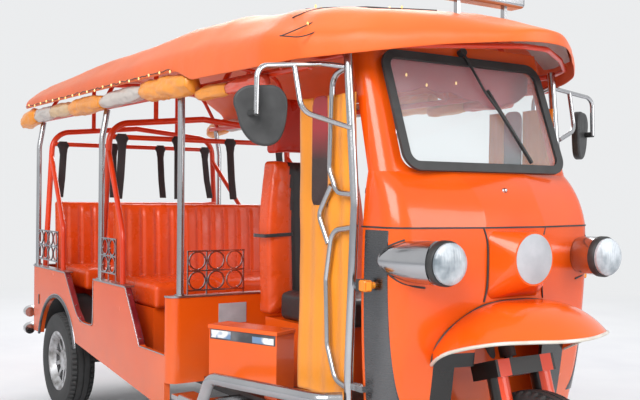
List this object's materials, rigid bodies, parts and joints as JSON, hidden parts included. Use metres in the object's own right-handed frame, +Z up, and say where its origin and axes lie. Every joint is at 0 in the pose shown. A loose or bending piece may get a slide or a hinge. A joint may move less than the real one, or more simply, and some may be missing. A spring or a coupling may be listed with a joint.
{
  "type": "auto rickshaw",
  "caption": "Long auto rickshaw with a rounded cab nose, open passenger tub, padded benches and canvas roof; its wheels roll and the front fork steers.",
  "frame": {"origin": "on the ground under the middle of the bounding box", "axes": "+X forward, +Y to the vehicle's left, +Z up"},
  "size_m": [4.2438, 1.8228, 2.1375],
  "materials": {
    "body_paint": "glossy orange paint",
    "frame_paint": "glossy red-orange paint on tube",
    "floor_paint": "satin, ribbed floor mat over painted sheet",
    "chassis_paint": "satin black underbody paint",
    "stainless": "polished stainless tube and sheet",
    "canvas": "coated orange canvas",
    "curtain_vinyl": "yellow-orange coated vinyl",
    "clear_vinyl": "clear soft vinyl",
    "seat_vinyl": "glossy orange vinyl",
    "dark_vinyl": "satin black vinyl",
    "webbing": "black woven belt",
    "black_plastic": "grained black plastic",
    "mirror_case": "grained dark grey plastic",
    "rubber": "black rubber section",
    "tyre": "matt black, treaded",
    "alloy": "machined and lacquered",
    "glass": "clear",
    "lamp_lens": "clear, fluted",
    "amber": "amber lens",
    "red_lens": "red lens",
    "plate_grey": "satin grey",
    "battery_case": "plain case",
    "steel": "black axle and springs"
  },
  "bodies": {
    "chassis": {"chassis_frame": "chassis_paint", "floor_pan": "floor_paint", "side_panels": "body_paint", "front_partition": "body_paint", "rear_panel": "body_paint", "rail_capping": "stainless", "wheel_housings": "chassis_paint", "bench_cushions": "seat_vinyl", "bench_backs": "seat_vinyl", "bench_bases": "body_paint", "battery_pack": "battery_case", "driver_seat_base": "body_paint", "driver_seat_cushion": "dark_vinyl", "driver_seat_back": "seat_vinyl", "cab_upper_shell": "body_paint", "cab_lower_shell": "body_paint", "windscreen_seal": "rubber", "windscreen_glass": "glass", "roof_canopy": "canvas", "roof_frame": "frame_paint", "roof_posts": "stainless", "roll_hoops": "frame_paint", "curtain_rolls": "curtain_vinyl", "rear_axle": "steel", "leaf_springs": "steel", "headlamp_shells": "stainless", "headlamp_lenses": "lamp_lens", "corner_panels": "stainless", "seam_welt": "rubber", "nose_cap": "body_paint", "front_mudguard": "body_paint", "footwell_panel": "body_paint", "dash_shelf": "black_plastic", "wiper": "black_plastic", "roof_lamp": "stainless", "grab_frames": "stainless", "mirror_heads": "mirror_case", "indicators": "amber", "side_guards": "stainless", "rear_bumper": "stainless", "tail_lamps": "red_lens", "plate_holder": "plate_grey", "scroll_rails": "stainless", "leaflet_box": "body_paint", "cab_curtains": "curtain_vinyl", "curtain_windows": "clear_vinyl", "seat_belts": "webbing"},
    "steering": {"front_fork": "frame_paint", "handlebar": "stainless"},
    "front_wheel": {"front_rim": "alloy", "front_tyre": "tyre"},
    "rear_wheel_right": {"rear_rim_right": "alloy", "rear_tyre_right": "tyre"},
    "rear_wheel_left": {"rear_rim_left": "alloy", "rear_tyre_left": "tyre"}
  },
  "joints": [
    {"name": "steering", "type": "hinge", "parent": "chassis", "child": "steering", "pos_m": [1.77153, 0, 0.30677], "axis": [-0.2924, 0, 0.9563], "range_deg": [-36, 36]},
    {"name": "front_wheel_spin", "type": "hinge", "parent": "steering", "child": "front_wheel", "pos_m": [1.805, 0, 0.317], "axis": [0, 1, 0], "continuous": true},
    {"name": "rear_wheel_right_spin", "type": "hinge", "parent": "chassis", "child": "rear_wheel_right", "pos_m": [-1.45, -0.601, 0.29], "axis": [0, 1, 0], "continuous": true},
    {"name": "rear_wheel_left_spin", "type": "hinge", "parent": "chassis", "child": "rear_wheel_left", "pos_m": [-1.45, 0.601, 0.29], "axis": [0, 1, 0], "continuous": true}
  ]
}
